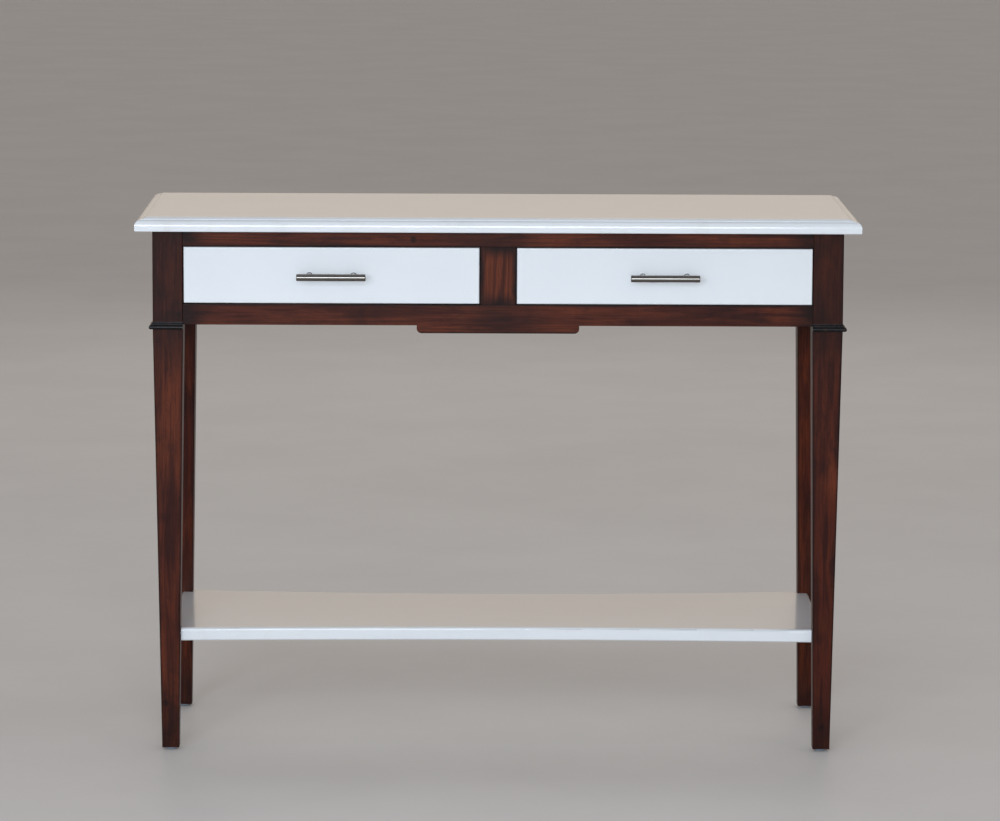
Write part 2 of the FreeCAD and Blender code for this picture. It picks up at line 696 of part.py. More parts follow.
def build_stop_screw(middle):
    face = DRAWER_BACK - BACK_THICKNESS - BUTTON_THICKNESS
    z = OPENING_TOP + BUTTON_CATCH - BUTTON_LENGTH * 0.7
    head = point(middle + BUTTON_OFFSET, face, z)
    return wood_screw(head, Y_AXIS, BUTTON_THICKNESS + STOP_SCREW_BITE)


def drawer_nodes(name, middle):
    """Every node of one drawer, by name."""
    bottom = build_drawer_bottom(middle)
    dowels = drawer_dowels(middle)
    bar = build_pull_bar(middle)
    stop_screw = build_stop_screw(middle)
    return {
        name + "_front": build_drawer_front(middle, [bottom] + dowels),
        name + "_side_l": build_drawer_side(middle, -1, bottom, dowels),
        name + "_side_r": build_drawer_side(middle, 1, bottom, dowels),
        name + "_back": build_drawer_back(middle, dowels + [stop_screw]),
        name + "_bottom": bottom,
        name + "_dowels": Part.makeCompound(dowels),
        name + "_pull_bar": bar,
        name + "_pull_posts": Part.makeCompound(build_pull_posts(middle, bar)),
        name + "_pull_screws": Part.makeCompound(build_pull_screws(middle)),
        name + "_stop_button": build_stop_button(middle, stop_screw),
        name + "_stop_screw": stop_screw,
    }


def leg_nodes(dowels):
    """Legs with their beads, and what goes into each: glides, shelf screws and plugs."""
    nodes = {}
    glides = []
    screws = []
    plugs = []
    for side, side_name in ((LEFT, "left"), (RIGHT, "right")):
        for end, end_name in ((FRONT, "front"), (BACK, "rear")):
            name = end_name + "_" + side_name
            blank = leg_blank(side, end)
            glide = build_glide(side, end)
            screw = build_shelf_screw(side, end)
            plug = build_shelf_plug(side, end, blank)
            nodes["leg_" + name] = cut_all(blank, dowels + [glide, screw, plug])
            nodes["leg_bead_" + name] = build_bead(side, end)
            glides.append(glide)
            screws.append(screw)
            plugs.append(plug)
    nodes["foot_glides"] = Part.makeCompound(glides)
    nodes["shelf_screws"] = Part.makeCompound(screws)
    nodes["shelf_plugs"] = Part.makeCompound(plugs)
    nodes["lower_shelf"] = build_shelf(screws)
    return nodes


def frieze_nodes(dowels):
    screws = top_screws()
    return {
        "top_panel": build_top(screws),
        "rail_front_top": build_top_rail(dowels),
        "rail_front_bottom": build_bottom_rail(dowels),
        "stile_centre": build_stile(dowels),
        "apron_left": build_side_apron(LEFT, dowels),
        "apron_right": build_side_apron(RIGHT, dowels),
        "apron_back": build_back_apron(dowels),
        "frame_dowels": Part.makeCompound(dowels),
        "divider_centre": build_divider(),
        "runner_left_outer": build_outer_runner(LEFT),
        "runner_left_inner": build_inner_runner(LEFT),
        "runner_right_inner": build_inner_runner(RIGHT),
        "runner_right_outer": build_outer_runner(RIGHT),
        "kicker_left": build_kicker(LEFT, screws),
        "kicker_right": build_kicker(RIGHT, screws),
        "top_cleats": Part.makeCompound([build_top_cleat(side, screws) for side in (LEFT, RIGHT)]),
        "top_screws": Part.makeCompound(screws),
        "closing_stops": Part.makeCompound(closing_stops()),
    }


def main():
    os.makedirs("parts", exist_ok=True)
    dowels = frame_dowels()
    nodes = frieze_nodes(dowels)
    nodes.update(leg_nodes(dowels))
    nodes.update(drawer_nodes("drawer_left", -DRAWER_CENTRE))
    nodes.update(drawer_nodes("drawer_right", DRAWER_CENTRE))
    for name, shape in nodes.items():
        shape.exportStep("parts/" + name + ".step")


main()
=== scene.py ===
"""Finishes, detailed pieces, light and camera for a console table with two drawers."""

import math

import bmesh
import bpy
from mathutils import Matrix, Vector


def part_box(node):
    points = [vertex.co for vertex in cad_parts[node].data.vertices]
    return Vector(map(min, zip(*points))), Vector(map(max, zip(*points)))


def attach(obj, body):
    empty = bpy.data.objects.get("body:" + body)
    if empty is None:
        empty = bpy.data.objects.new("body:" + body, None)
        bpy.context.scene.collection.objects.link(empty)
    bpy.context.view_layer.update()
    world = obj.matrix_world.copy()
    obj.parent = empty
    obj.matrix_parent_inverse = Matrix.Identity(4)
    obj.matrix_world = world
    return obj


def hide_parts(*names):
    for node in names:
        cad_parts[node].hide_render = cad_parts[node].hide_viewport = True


bl_info = {
    "name": "Console Table",
    "version": (1, 0, 0),
    "blender": (4, 5, 0),
    "location": "View3D > Sidebar > Console Table",
    "description": "Finishes and detailed fittings for a two-drawer console table on its packed model",
    "category": "Add Mesh",
}

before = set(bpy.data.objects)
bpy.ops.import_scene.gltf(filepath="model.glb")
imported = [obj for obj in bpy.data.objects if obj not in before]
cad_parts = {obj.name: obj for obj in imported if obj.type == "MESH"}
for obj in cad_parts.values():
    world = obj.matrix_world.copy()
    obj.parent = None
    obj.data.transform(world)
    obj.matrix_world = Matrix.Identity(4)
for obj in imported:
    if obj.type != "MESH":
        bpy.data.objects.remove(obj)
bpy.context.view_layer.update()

AXES = {"X": 0, "Y": 1, "Z": 2}
DRAWERS = ("drawer_left", "drawer_right")

# Colour sockets of Blender's Mix node, which go by number
MIX_FIRST, MIX_SECOND, MIX_RESULT = 6, 7, 2

# Meshes: distances in metres, angles in radians
MERGE_DISTANCE = 1e-6
TURNED_MERGE_DISTANCE = 1e-7
SHARP_ANGLE = math.radians(35.0)
SORTING_DIGITS = 4

# The cross in a screw's head, as shares of the head's radius
HEAD_GRID = 10
CROSS_REACH = 0.62
CROSS_HALF_WIDTH = 0.16
CROSS_TAPER = 0.72
SCREW_STEPS = 24

# Rounding of a post's collar
COLLAR_EASE = 0.0002

# A foot glide and the pin that holds it
GLIDE_THICKNESS = 0.004
GLIDE_EASE = 0.0004
GLIDE_PIN_RADIUS = 0.00125
GLIDE_PIN_POINT = 0.002

# Height of the slice in which a foot's width is read
FOOT_SLICE = 0.001

FLOOR_RADIUS = 60.0
FLOOR_SEGMENTS = 96


# Sizes and colours a user may change

def colour_property(name, description, default):
    return bpy.props.FloatVectorProperty(
        name=name,
        description=description,
        default=default,
        subtype="COLOR",
        size=3,
        min=0.0,
        max=1.0,
    )


def length_property(name, description, default):
    return bpy.props.FloatProperty(
        name=name,
        description=description,
        default=default,
        min=0.0,
        precision=5,
        unit="LENGTH",
        subtype="DISTANCE",
    )


def share_property(name, description, default):
    return bpy.props.FloatProperty(
        name=name,
        description=description,
        default=default,
        min=0.0,
        max=1.0,
        subtype="FACTOR",
    )


class StainedWoodSettings(bpy.types.PropertyGroup):
    """Colours and gloss of the stained hardwood frame."""

    light: colour_property("Light Figure", "Colour of the warm figure", (0.155, 0.036, 0.0130))
    middle: colour_property("Body Colour", "Main colour of the stained wood", (0.075, 0.0150, 0.0075))
    dark: colour_property("Dark Figure", "Colour of the dark streaks", (0.033, 0.0075, 0.0050))
    # Dark colour of pores, patches and knots, also used for the painted shade at joints, under the beads and
    # near the floor
    dark_tone_and_painted_shade: colour_property("Shaded Edge", "Colour sprayed into edges and joints", (0.0120, 0.0046, 0.0040))
    line_spacing: length_property("Grain Line Spacing", "Mean distance between grain lines", 0.0024)
    roughness: share_property("Roughness", "Roughness of the satin varnish", 0.36)
    coat: share_property("Varnish", "Strength of the clear varnish over the stain", 0.10)


class LacquerSettings(bpy.types.PropertyGroup):
    """Colours and gloss of the white lacquer."""

    colour: colour_property("Lacquer", "Colour of the white lacquer", (0.79, 0.83, 0.86))
    shade: colour_property("Lacquer Shade", "Duller colour that the lacquer drifts to", (0.77, 0.81, 0.845))
    rubbed: colour_property("Rubbed Edge", "Colour where the edges are handled", (0.66, 0.66, 0.65))
    roughness: share_property("Roughness", "Roughness of the lacquer under its gloss", 0.30)
    gloss: share_property("Gloss Coat", "Strength of the polished coat", 0.75)
    ripple: length_property("Spray Ripple", "Size of the faint ripple left by spraying", 0.0035)


class MetalSettings(bpy.types.PropertyGroup):
    """Colours of the metal fittings and the nylon glides."""

    nickel: colour_property("Brushed Nickel", "Colour of the brushed pulls", (0.20, 0.184, 0.164))
    zinc: colour_property("Zinc", "Colour of the plated screws", (0.62, 0.64, 0.66))
    nylon: colour_property("Nylon", "Colour of the foot glides", (0.20, 0.24, 0.29))
    bead: colour_property("Ebonised Bead", "Colour of the black leg mouldings", (0.0065, 0.0062, 0.0072))
    bead_rub: colour_property("Bead Rub", "Colour that shows where the black is worn", (0.030, 0.014, 0.011))


class RawWoodSettings(bpy.types.PropertyGroup):
    """Colours of the unstained wood inside."""

    light: colour_property("Light Figure", "Palest colour of the unstained wood", (0.66, 0.50, 0.33))
    middle: colour_property("Body Colour", "Main colour of the unstained wood", (0.55, 0.38, 0.22))
    dark: colour_property("Dark Figure", "Colour of its darker growth lines", (0.36, 0.21, 0.105))
    line_spacing: length_property("Grain Line Spacing", "Mean distance between grain lines", 0.0036)


class FittingSettings(bpy.types.PropertyGroup):
    """Sizes of the small details on pulls, screws and glides."""

    bar_end_round: length_property("Bar End Rounding", "Rounding of the pull bar's ends", 0.0007)
    bar_end_dish: length_property("Bar End Dish", "Depth of the turned dish in the bar's ends", 0.00025)
    post_collar: length_property("Post Collar", "Length of the collar where a post meets the drawer", 0.0012)
    post_collar_step: length_property("Post Collar Step", "How far the collar stands out", 0.0006)
    recess_depth: length_property("Recess Depth", "Depth of the cross in a screw's head", 0.0012)
    glide_dome: length_property("Glide Dome", "How far a glide's underside is domed", 0.0006)
    turned_steps: bpy.props.IntProperty(
        name="Turned Steps",
        description="Number of faces round a turned piece",
        default=64,
        min=12,
        max=256,
    )


class StudioSettings(bpy.types.PropertyGroup):
    """Floor, lights and camera."""

    floor_colour: colour_property("Floor", "Colour of the plain floor", (0.82, 0.795, 0.76))
    air_low: colour_property("Low Surroundings", "Colour of the air at eye level", (0.58, 0.48, 0.38))
    air_high: colour_property("High Surroundings", "Colour of the air overhead", (0.24, 0.25, 0.28))
    air_strength: bpy.props.FloatProperty(
        name="Surroundings Strength",
        description="Brightness of the plain surroundings",
        default=1.0,
        min=0.0,
    )
    key_power: bpy.props.FloatProperty(
        name="Key Light",
        description="Power of the large softbox in front",
        default=212.0,
        min=0.0,
        unit="POWER",
    )
    top_power: bpy.props.FloatProperty(
        name="Top Light",
        description="Power of the overhead softbox",
        default=8.0,
        min=0.0,
        unit="POWER",
    )
    back_power: bpy.props.FloatProperty(
        name="Back Light",
        description="Power of the softbox behind the table",
        default=18.0,
        min=0.0,
        unit="POWER",
    )
    camera_place: bpy.props.FloatVectorProperty(
        name="Camera Place",
        description="Where the camera stands",
        default=(-0.0444, -6.7383, 1.4571),
        subtype="TRANSLATION",
        unit="LENGTH",
        precision=4,
        size=3,
    )
    camera_pitch: bpy.props.FloatProperty(
        name="Camera Pitch",
        description="How far the camera looks down",
        default=0.1435,
        precision=4,
        unit="ROTATION",
    )
    camera_yaw: bpy.props.FloatProperty(
        name="Camera Yaw",
        description="How far the camera turns to its right",
        default=0.0073,
        precision=4,
        unit="ROTATION",
    )
    camera_roll: bpy.props.FloatProperty(
        name="Camera Roll",
        description="How far the camera is tilted about its own line of sight",
        default=0.0046,
        precision=4,
        unit="ROTATION",
    )
    focal_length: bpy.props.FloatProperty(
        name="Focal Length",
        description="Focal length in millimetres on a 36 mm sensor",
        default=164.13,
        min=1.0,
    )


def settings(name):
    """One group of the settings that are kept on the scene."""
    return getattr(bpy.context.scene, "console_table_" + name)


# Shader building

class Shader:
    """One material's node tree, with the calls that its finishes are written in."""

    def __init__(self, name):
        self.material = bpy.data.materials.new(name)
        self.material.use_nodes = True
        self.tree = self.material.node_tree
        self.tree.nodes.clear()
        output = self.tree.nodes.new("ShaderNodeOutputMaterial")
        self.surface = self.tree.nodes.new("ShaderNodeBsdfPrincipled")
        self.tree.links.new(self.surface.outputs["BSDF"], output.inputs["Surface"])
        self.coordinates = self.node("ShaderNodeTexCoord").outputs["Object"]

    def node(self, kind, inputs=None, **fields):
        """Add a node: fields are its own settings, inputs its sockets by name or number."""
        made = self.tree.nodes.new(kind)
        for field, value in fields.items():
            setattr(made, field, value)
        for socket, value in (inputs or {}).items():
            self.feed(made.inputs[socket], value)
        return made

    def feed(self, socket, value):
        """Link an output to a socket, or set the socket to a number or a colour."""
        if isinstance(value, bpy.types.NodeSocket):
            self.tree.links.new(value, socket)
        elif hasattr(value, "__len__") and len(socket.default_value) == 4 and len(value) == 3:
            socket.default_value = (*value, 1.0)
        else:
            socket.default_value = value

    def set(self, **values):
        """Set the surface's own sockets; underscores stand for spaces."""
        for name, value in values.items():
            self.feed(self.surface.inputs[name.replace("_", " ")], value)

    def mapped(self, location=(0, 0, 0), scale=(1, 1, 1)):
        """The piece's own coordinates, shifted and scaled."""
        mapping = self.node(
            "ShaderNodeMapping", {"Vector": self.coordinates, "Location": location, "Scale": scale}
        )
        return mapping.outputs["Vector"]

    def streaks(self, location, grain, stretch, **pattern):
        """Noise drawn out along the grain; the smaller stretch is, the longer the streaks."""
        return self.noise(self.mapped(location, along(grain, stretch)), **pattern)

    def noise(self, vector, scale, detail, roughness=0.5, distortion=0.0):
        """A grey noise pattern on a vector."""
        texture = self.node(
            "ShaderNodeTexNoise",
            {
                "Vector": vector,
                "Scale": scale,
                "Detail": detail,
                "Roughness": roughness,
                "Distortion": distortion,
            },
        )
        return texture.outputs["Fac"]

    def math(self, operation, first, second=0.0):
        """One sum on two numbers, or on the first alone."""
        return self.node("ShaderNodeMath", {0: first, 1: second}, operation=operation).outputs[0]

    def fitted(self, value, low, high, out_low=0.0, out_high=1.0):
        """Move a value smoothly from the range low..high to out_low..out_high."""
        made = self.node(
            "ShaderNodeMapRange",
            {"Value": value, "From Min": low, "From Max": high, "To Min": out_low, "To Max": out_high},
            interpolation_type="SMOOTHSTEP",
        )
        return made.outputs["Result"]

    def mixed(self, share, first, second):
        """The first colour with a share of the second over it."""
        made = self.node("ShaderNodeMix", data_type="RGBA")
        self.feed(made.inputs[0], share)
        self.feed(made.inputs[MIX_FIRST], first)
        self.feed(made.inputs[MIX_SECOND], second)
        return made.outputs[MIX_RESULT]

    def bumped(self, height, distance, strength):
        """Let a height pattern roughen the surface."""
        made = self.node("ShaderNodeBump", {"Height": height, "Distance": distance, "Strength": strength})
        self.set(Normal=made.outputs["Normal"])


def along(axis, value):
    """A three-number scale that is value on one axis and one on the others."""
    return tuple(value if i == AXES[axis] else 1.0 for i in range(3))


def start_of_pattern(seed, steps):
    """Where a piece's pattern starts, so that no two pieces show the same figure."""
    return tuple(seed * step for step in steps)


def position(shader, axis):
    """One coordinate of the point being shaded."""
    return shader.node("ShaderNodeSeparateXYZ", {"Vector": shader.coordinates}).outputs[AXES[axis]]


def darkest(shader, masks):
    """The strongest of several masks at each point."""
    mask = masks[0]
    for other in masks[1:]:
        mask = shader.math("MAXIMUM", mask, other)
    return mask


def distance_from(shader, axis, place):
    """How far the point being shaded is from a place on an axis."""
    return shader.math("ABSOLUTE", shader.math("SUBTRACT", position(shader, axis), place))


def near(shader, axis, place, reach):
    """One at a place on an axis and falling to nothing after reach metres."""
    return shader.fitted(distance_from(shader, axis, place), 0.0, reach, 1.0, 0.0)


def board_edges(shader, node, reaches):
    """A mask along a board's faces; reaches gives for each axis how far it spreads inwards."""
    low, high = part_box(node)
    masks = []
    for axis, reach in reaches.items():
        i = AXES[axis]
        masks.append(near(shader, axis, low[i], reach))
        masks.append(near(shader, axis, high[i], reach))
    return darkest(shader, masks)


def leg_edges(shader, node, bead):
    """A mask of toning along a tapered leg's long edges, and of painted shade at its foot and round its bead.
    """
    low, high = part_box(node)
    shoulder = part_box(bead)[0].z
    foot = [v.co.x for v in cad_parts[node].data.vertices if v.co.z < low.z + FOOT_SLICE]
    foot_half = (max(foot) - min(foot)) / 2
    block_half = (high.x - low.x) / 2
    height = position(shader, "Z")
    half_width = shader.node(
        "ShaderNodeMapRange",
        {"Value": height, "From Min": low.z, "From Max": shoulder, "To Min": foot_half, "To Max": block_half},
    ).outputs["Result"]
    sides = []
    for axis in "XY":
        middle = (low[AXES[axis]] + high[AXES[axis]]) / 2
        share = shader.math("DIVIDE", distance_from(shader, axis, middle), half_width)
        sides.append(shader.fitted(share, 0.72, 1.0, 0.0, 0.85))
    masks = [
        shader.math("MINIMUM", *sides),
        shader.fitted(height, shoulder - 0.10, shoulder, 0.0, 0.75),
        shader.fitted(height, low.z, low.z + 0.13, 0.75, 0.0),
    ]
    return darkest(shader, masks)


def knot_mask(shader, knots):
    """Dark spots where knots come to the surface; knots is a list of (point, radius)."""
    wobble = shader.node(
        "ShaderNodeTexNoise", {"Vector": shader.coordinates, "Scale": 240.0, "Detail": 2.0}
    ).outputs["Color"]
    shift = shader.node("ShaderNodeVectorMath", {0: wobble, 1: (0.5, 0.5, 0.5)}, operation="SUBTRACT")
    small = shader.node("ShaderNodeVectorMath", {0: shift.outputs[0], 3: 0.006}, operation="SCALE")
    place = shader.node(
        "ShaderNodeVectorMath", {0: shader.coordinates, 1: small.outputs[0]}, operation="ADD"
    )
    masks = []
    for point, radius in knots:
        apart = shader.node(
            "ShaderNodeVectorMath", {0: place.outputs[0], 1: point}, operation="DISTANCE"
        )
        masks.append(shader.fitted(apart.outputs["Value"], radius * 0.45, radius * 1.3, 0.85, 0.0))
    return darkest(shader, masks)


# Finishes

def stained_wood(name, grain, seed, warmth, shade=None, knots=()):
    """Stained hardwood with its grain along one axis.

    warmth is how far the light figure shows, from 0 to 1, and shade makes, from the shader, the mask of
    the darker toning along edges and of the painted shade at joints, under the beads and near the floor."""
    look = settings("stained_wood")
    shader = Shader(name)
    start = start_of_pattern(seed, (1.31, 0.77, 2.03))
    per_metre = 1.0 / look.line_spacing

    drift = shader.streaks(start, grain, 0.30, scale=13.0, detail=3.0, roughness=0.55, distortion=0.3)
    figure = shader.streaks(
        start, grain, 0.075, scale=per_metre * 0.20, detail=5.0, roughness=0.62, distortion=1.1
    )
    lines = shader.streaks(start, grain, 0.020, scale=per_metre, detail=3.0, roughness=0.60, distortion=0.3)
    pores = shader.streaks(start, grain, 0.05, scale=per_metre * 3.4, detail=2.0, roughness=0.55)
    cloud = shader.streaks(start, grain, 0.55, scale=30.0, detail=4.0, roughness=0.60, distortion=0.6)

    body = shader.mixed(shader.fitted(figure, 0.36, 0.60), look.dark, look.middle)
    warm_drift = shader.fitted(drift, 0.36, 0.62)
    warm = shader.math("MULTIPLY", warm_drift, shader.fitted(figure, 0.36, 0.62, 0.25, 1.0))
    body = shader.mixed(shader.math("MULTIPLY", warm, warmth), body, look.light)
    streaks = shader.fitted(lines, 0.45, 0.66, 0.0, 0.60)
    body = shader.mixed(streaks, body, look.dark)
    open_pores = shader.fitted(pores, 0.60, 0.70, 0.0, 0.7)
    body = shader.mixed(open_pores, body, look.dark_tone_and_painted_shade)
    patches = shader.fitted(cloud, 0.50, 0.76, 0.0, 0.60)
    body = shader.mixed(patches, body, look.dark_tone_and_painted_shade)
    if shade:
        # Toning and painted shade from the mask, broken up by the cloud
        ragged_shade = shader.math("MULTIPLY", shade(shader), shader.fitted(cloud, 0.20, 0.60, 0.55, 1.0))
        body = shader.mixed(ragged_shade, body, look.dark_tone_and_painted_shade)
    if knots:
        body = shader.mixed(knot_mask(shader, knots), body, look.dark_tone_and_painted_shade)

    shader.set(
        Base_Color=body,
        Roughness=shader.fitted(lines, 0.3, 0.7, look.roughness - 0.05, look.roughness + 0.08),
        Specular_IOR_Level=0.06,
        Coat_Weight=look.coat,
        Coat_Roughness=0.16,
    )
    height = shader.math("SUBTRACT", shader.math("MULTIPLY", lines, 0.35), open_pores)
    shader.bumped(height, distance=0.00010, strength=0.5)
    return shader.material


def raw_wood(name, grain, seed):
    """Pale unstained wood, planed and left matt."""
    look = settings("raw_wood")
    shader = Shader(name)
    start = start_of_pattern(seed, (0.93, 1.57, 0.41))
    per_metre = 1.0 / look.line_spacing
    rings = shader.streaks(
        start, grain, 0.045, scale=per_metre * 0.22, detail=4.0, roughness=0.55, distortion=1.4
    )
    fibres = shader.streaks(start, grain, 0.02, scale=per_metre * 2.2, detail=3.0, roughness=0.6)
    drift = shader.streaks(start, grain, 0.3, scale=8.0, detail=2.0)
    body = shader.mixed(shader.fitted(rings, 0.36, 0.62), look.middle, look.light)
    body = shader.mixed(shader.fitted(rings, 0.60, 0.70, 0.0, 0.55), body, look.dark)
    body = shader.mixed(shader.fitted(fibres, 0.50, 0.72, 0.0, 0.35), body, look.dark)
    body = shader.mixed(shader.fitted(drift, 0.40, 0.75, 0.0, 0.35), body, look.middle)
    shader.set(
        Base_Color=body,
        Roughness=shader.fitted(fibres, 0.3, 0.7, 0.56, 0.74),
        Specular_IOR_Level=0.35,
    )
    shader.bumped(fibres, distance=0.00010, strength=0.5)
    return shader.material


def lacquer(name, seed, handled):
    """White sprayed lacquer with a polished coat.

    handled makes the mask of the edges that are dulled by handling, from the shader."""
    look = settings("lacquer")
    shader = Shader(name)
    place = shader.mapped(start_of_pattern(seed, (0.61, 1.13, 0.37)))
    drift = shader.noise(place, scale=5.0, detail=2.0)
    smudges = shader.noise(place, scale=26.0, detail=4.0, roughness=0.6, distortion=0.5)
    ripple = shader.noise(place, scale=1.0 / look.ripple, detail=1.0, roughness=0.4)
    dust = shader.noise(place, scale=1400.0, detail=1.0)
    body = shader.mixed(shader.fitted(drift, 0.35, 0.68), look.colour, look.shade)
    body = shader.mixed(shader.fitted(dust, 0.74, 0.80, 0.0, 0.15), body, look.rubbed)
    worn = shader.math("MULTIPLY", handled(shader), shader.fitted(smudges, 0.52, 0.72, 0.0, 0.35))
    body = shader.mixed(worn, body, look.rubbed)
    shader.set(
        Base_Color=body,
        Roughness=shader.fitted(smudges, 0.2, 0.8, look.roughness - 0.01, look.roughness + 0.02),
        Specular_IOR_Level=0.40,
        Coat_Weight=look.gloss,
        Coat_Roughness=0.08,
        Coat_IOR=1.5,
    )
    shader.bumped(ripple, distance=0.000008, strength=0.15)
    return shader.material


def ebonised(name, seed):
    """Black polished wood, rubbed thin here and there so that the brown shows."""
    look = settings("metal")
    shader = Shader(name)
    start = start_of_pattern(seed, (0.7, 0.9, 1.1))
    rub = shader.noise(shader.mapped(start), scale=90.0, detail=3.0, roughness=0.6)
    fibres = shader.noise(shader.mapped(start, scale=(0.1, 0.1, 1.0)), scale=700.0, detail=2.0)
    body = shader.mixed(shader.fitted(rub, 0.50, 0.74, 0.0, 0.8), look.bead, look.bead_rub)
    shader.set(
        Base_Color=body,
        Roughness=shader.fitted(rub, 0.3, 0.7, 0.24, 0.36),
        Specular_IOR_Level=0.15,
        Coat_Weight=0.08,
        Coat_Roughness=0.16,
    )
    shader.bumped(fibres, distance=0.00003, strength=0.25)
    return shader.material


def brushed_metal(name, colour, brush_axis, roughness, seed):
    """Metal brushed along one axis."""
    shader = Shader(name)
    start = start_of_pattern(seed, (0.7, 1.9, 1.1))
    strokes = shader.streaks(start, brush_axis, 0.012, scale=5200.0, detail=3.0, roughness=0.65)
    tone = shader.noise(shader.mapped(start), scale=70.0, detail=2.0)
    dull = tuple(channel * 0.80 for channel in colour)
    body = shader.mixed(shader.fitted(strokes, 0.35, 0.68), dull, colour)
    body = shader.mixed(shader.fitted(tone, 0.45, 0.75, 0.0, 0.35), body, dull)
    shader.set(
        Base_Color=body,
        Metallic=1.0,
        Roughness=shader.fitted(strokes, 0.3, 0.7, roughness - 0.04, roughness + 0.06),
    )
    shader.bumped(strokes, distance=0.00003, strength=0.35)
    return shader.material


def plated_metal(name, colour, seed):
    """Zinc plating with its faint cloudy crystals."""
    shader = Shader(name)
    place = shader.mapped(start_of_pattern(seed, (0.7, 1.9, 1.1)))
    cloud = shader.noise(place, scale=900.0, detail=4.0, roughness=0.6)
    dull = tuple(channel * 0.62 for channel in colour)
    shader.set(
        Base_Color=shader.mixed(shader.fitted(cloud, 0.3, 0.7), colour, dull),
        Metallic=1.0,
        Roughness=shader.fitted(cloud, 0.3, 0.7, 0.26, 0.46),
    )
    shader.bumped(cloud, distance=0.00002, strength=0.4)
    return shader.material


def nylon(name, colour, seed):
    """Moulded nylon, scuffed by the floor."""
    shader = Shader(name)
    place = shader.mapped(start_of_pattern(seed, (0.7, 1.9, 1.1)), scale=(1.0, 0.2, 1.0))
    scuffs = shader.noise(place, scale=800.0, detail=4.0, roughness=0.6)
    worn = tuple(channel * 0.55 for channel in colour)
    shader.set(
        Base_Color=shader.mixed(shader.fitted(scuffs, 0.50, 0.78), colour, worn),
        Roughness=shader.fitted(scuffs, 0.3, 0.7, 0.36, 0.60),
        Subsurface_Weight=0.12,
        Subsurface_Scale=0.002,
    )
    shader.bumped(scuffs, distance=0.00006, strength=0.5)
    return shader.material


def floor_finish():
    """A plain pale floor with a barely visible mottle."""
    shader = Shader("studio_floor")
    mottle = shader.noise(shader.mapped(), scale=3.0, detail=4.0, roughness=0.55)
    colour = settings("studio").floor_colour
    deeper = tuple(channel * 0.96 for channel in colour)
    shader.set(
        Base_Color=shader.mixed(shader.fitted(mottle, 0.3, 0.7), colour, deeper),
        Roughness=0.55,
        Specular_IOR_Level=0.25,
    )
    return shader.material


def finish_node(node, material):
    """Give a carried-over node its finish."""
    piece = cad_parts[node]
    piece.data.materials.clear()
    piece.data.materials.append(material)


# Mesh building

def solids_of(node):
    """The lowest and highest corner of each separate solid in a node, from left to right."""
    copy = bmesh.new()
    copy.from_mesh(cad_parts[node].data)
    bmesh.ops.remove_doubles(copy, verts=copy.verts, dist=MERGE_DISTANCE)
    waiting = set(copy.verts)
    boxes = []
    while waiting:
        island = {waiting.pop()}
        to_follow = list(island)
        while to_follow:
            vert = to_follow.pop()
            for edge in vert.link_edges:
                other = edge.other_vert(vert)
                if other in waiting:
                    waiting.discard(other)
                    island.add(other)
                    to_follow.append(other)
        low = Vector(min(v.co[i] for v in island) for i in range(3))
        high = Vector(max(v.co[i] for v in island) for i in range(3))
        boxes.append((low, high))
    copy.free()
    return sorted(boxes, key=lambda box: [round(box[0][i], SORTING_DIGITS) for i in (0, 1)])


def joined(bm, part, place):
    """Put a part in place with a matrix and add it to a bmesh."""
    bmesh.ops.recalc_face_normals(part, faces=part.faces)
    part.transform(place)
    scratch = bpy.data.meshes.new("scratch")
    part.to_mesh(scratch)
    part.free()
    bm.from_mesh(scratch)
    bpy.data.meshes.remove(scratch)


def turned(bm, profile, place, steps):
    """Spin a profile of (radius, height) pairs about Z, put it in place and add it to a bmesh."""
    part = bmesh.new()
    verts = [part.verts.new((radius, 0.0, height)) for radius, height in profile]
    edges = [part.edges.new(pair) for pair in zip(verts, verts[1:])]
    bmesh.ops.spin(
        part,
        geom=verts + edges,
        cent=(0, 0, 0),
        axis=(0, 0, 1),
        angle=math.tau,
        steps=steps,
        use_merge=True,
    )
    bmesh.ops.remove_doubles(part, verts=part.verts, dist=TURNED_MERGE_DISTANCE)
    joined(bm, part, place)


def screw_head(bm, radius, height, sink, depth, place):
    """A round head with a cross cut depth metres into it, facing up Z before it is put in place.

    sink is how much smaller the head's radius is at its underside, for a countersunk screw."""
    part = bmesh.new()
    bmesh.ops.create_grid(part, x_segments=HEAD_GRID, y_segments=HEAD_GRID, size=1.0)
    for vert in part.verts:
        x, y, _ = vert.co
        vert.co = Vector((x * math.sqrt(1 - y * y / 2), y * math.sqrt(1 - x * x / 2), 0)) * radius
    cross = []
    for face in part.faces:
        x, y, _ = (abs(c) for c in face.calc_center_median())
        if max(x, y) < radius * CROSS_REACH and min(x, y) < radius * CROSS_HALF_WIDTH:
            cross.append(face)
    sunk = bmesh.ops.extrude_face_region(part, geom=cross)
    floor = [item for item in sunk["geom"] if isinstance(item, bmesh.types.BMVert)]
    bmesh.ops.delete(part, geom=[face for face in cross if face.is_valid], context="FACES_ONLY")
    bmesh.ops.scale(part, vec=(CROSS_TAPER, CROSS_TAPER, 1.0), verts=floor)
    bmesh.ops.translate(part, vec=(0, 0, -depth), verts=floor)
    rim = [edge for edge in part.edges if edge.is_boundary]
    wall = bmesh.ops.extrude_edge_only(part, edges=rim)
    lower = [item for item in wall["geom"] if isinstance(item, bmesh.types.BMVert)]
    narrow = (radius - sink) / radius
    bmesh.ops.scale(part, vec=(narrow, narrow, 1.0), verts=lower)
    bmesh.ops.translate(part, vec=(0, 0, -height), verts=lower)
    bmesh.ops.contextual_create(part, geom=[edge for edge in part.edges if edge.is_boundary])
    joined(bm, part, place)


